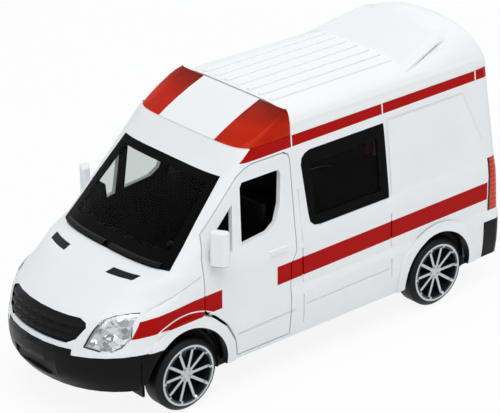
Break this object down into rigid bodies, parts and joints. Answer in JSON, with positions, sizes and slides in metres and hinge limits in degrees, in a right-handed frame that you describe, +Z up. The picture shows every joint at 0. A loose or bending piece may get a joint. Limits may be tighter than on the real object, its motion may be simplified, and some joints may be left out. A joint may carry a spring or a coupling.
{
  "type": "toy ambulance",
  "caption": "Die-cast toy ambulance van with a plastic roof, red corner beacons, hinged cab and rear doors, rolling wheels and a pull-back motor.",
  "frame": {"origin": "on the ground, at the middle of the vehicle's length and width", "axes": "+X forward, +Y to the vehicle's left, +Z up"},
  "size_m": [0.166, 0.0692, 0.0883],
  "materials": {
    "white_paint": "gloss",
    "white_plastic": "gloss",
    "red_lens": "gloss",
    "lamp_red": "gloss",
    "tinted_pane": "gloss",
    "clear_lens": "gloss",
    "orange_lens": "gloss",
    "bright_plating": "gloss",
    "silver_plastic": "satin",
    "tyre_rubber": "matte",
    "black_plastic": "satin",
    "grey_plastic": "matte",
    "nylon": "satin",
    "brass": "satin",
    "steel": "satin",
    "board_green": "satin"
  },
  "bodies": {
    "vehicle": {"body_shell": "white_paint", "roof": "white_plastic", "light_fairing": "white_plastic", "beacon_lens_left": "red_lens", "beacon_lens_right": "red_lens", "beacon_lamps": "lamp_red", "windscreen": "tinted_pane", "wipers": "black_plastic", "side_window_left": "tinted_pane", "side_window_right": "tinted_pane", "grille": "black_plastic", "headlight_lens_left": "clear_lens", "headlight_lens_right": "clear_lens", "headlight_reflectors": "bright_plating", "hood_vents": "black_plastic", "tail_light_left": "orange_lens", "tail_light_right": "orange_lens", "front_bumper": "black_plastic", "rear_bumper": "black_plastic", "chassis": "black_plastic", "front_hinge_pins": "steel", "rear_hinge_pins": "steel", "cab_tub": "black_plastic", "rear_deck": "black_plastic", "dashboard": "black_plastic", "steering_wheel": "black_plastic", "driver_seat": "black_plastic", "passenger_seat": "black_plastic", "motor_housing": "grey_plastic", "motor_cover": "grey_plastic", "battery_cover": "black_plastic", "button_cells": "steel", "circuit_board": "board_green", "speaker": "grey_plastic", "switch_housing": "grey_plastic", "chassis_screws": "steel"},
    "front_wheels": {"front_axle": "steel", "rim_front_left": "silver_plastic", "rim_front_right": "silver_plastic", "tyre_front_left": "tyre_rubber", "tyre_front_right": "tyre_rubber"},
    "rear_wheels": {"rear_axle": "steel", "drive_pinion": "brass", "rim_rear_left": "silver_plastic", "rim_rear_right": "silver_plastic", "tyre_rear_left": "tyre_rubber", "tyre_rear_right": "tyre_rubber"},
    "spring_drum": {"spring_gear": "nylon", "mainspring": "steel"},
    "front_door_left": {"door_left": "white_paint", "mirror_left": "white_plastic"},
    "front_door_right": {"door_right": "white_paint", "mirror_right": "white_plastic"},
    "rear_door_left": {"rear_door_left": "white_paint", "rear_window_left": "tinted_pane"},
    "rear_door_right": {"rear_door_right": "white_paint", "rear_window_right": "tinted_pane"},
    "switch": {"switch_slider": "white_plastic"}
  },
  "joints": [
    {"name": "front_wheels_roll", "type": "hinge", "parent": "vehicle", "child": "front_wheels", "pos_m": [0.0482, 0, 0.0115], "axis": [0, 1, 0], "continuous": true},
    {"name": "rear_wheels_roll", "type": "hinge", "parent": "vehicle", "child": "rear_wheels", "pos_m": [-0.0544, 0, 0.0115], "axis": [0, 1, 0], "continuous": true},
    {"name": "spring_drum_turn", "type": "hinge", "parent": "vehicle", "child": "spring_drum", "pos_m": [-0.04674, -0.0015, 0.0135], "axis": [0, 1, 0], "continuous": true},
    {"name": "front_door_left_swing", "type": "hinge", "parent": "vehicle", "child": "front_door_left", "pos_m": [0.0386, 0.02872, 0.0317], "axis": [0, 0, -1], "range_deg": [0, 45]},
    {"name": "front_door_right_swing", "type": "hinge", "parent": "vehicle", "child": "front_door_right", "pos_m": [0.0386, -0.02872, 0.0317], "axis": [0, 0, 1], "range_deg": [0, 45]},
    {"name": "rear_door_left_swing", "type": "hinge", "parent": "vehicle", "child": "rear_door_left", "pos_m": [-0.0803, 0.0216, 0.04688], "axis": [-0.0657, 0, -0.9978], "range_deg": [0, 100]},
    {"name": "rear_door_right_swing", "type": "hinge", "parent": "vehicle", "child": "rear_door_right", "pos_m": [-0.0803, -0.0216, 0.04688], "axis": [0.0657, 0, 0.9978], "range_deg": [0, 100]},
    {"name": "switch_slide", "type": "slide", "parent": "vehicle", "child": "switch", "axis": [0, 1, 0], "range_m": [0, 0.002]}
  ],
  "couplings": [
    {"joint": "spring_drum_turn", "follows": "rear_wheels_roll", "ratio": -0.44444}
  ]
}
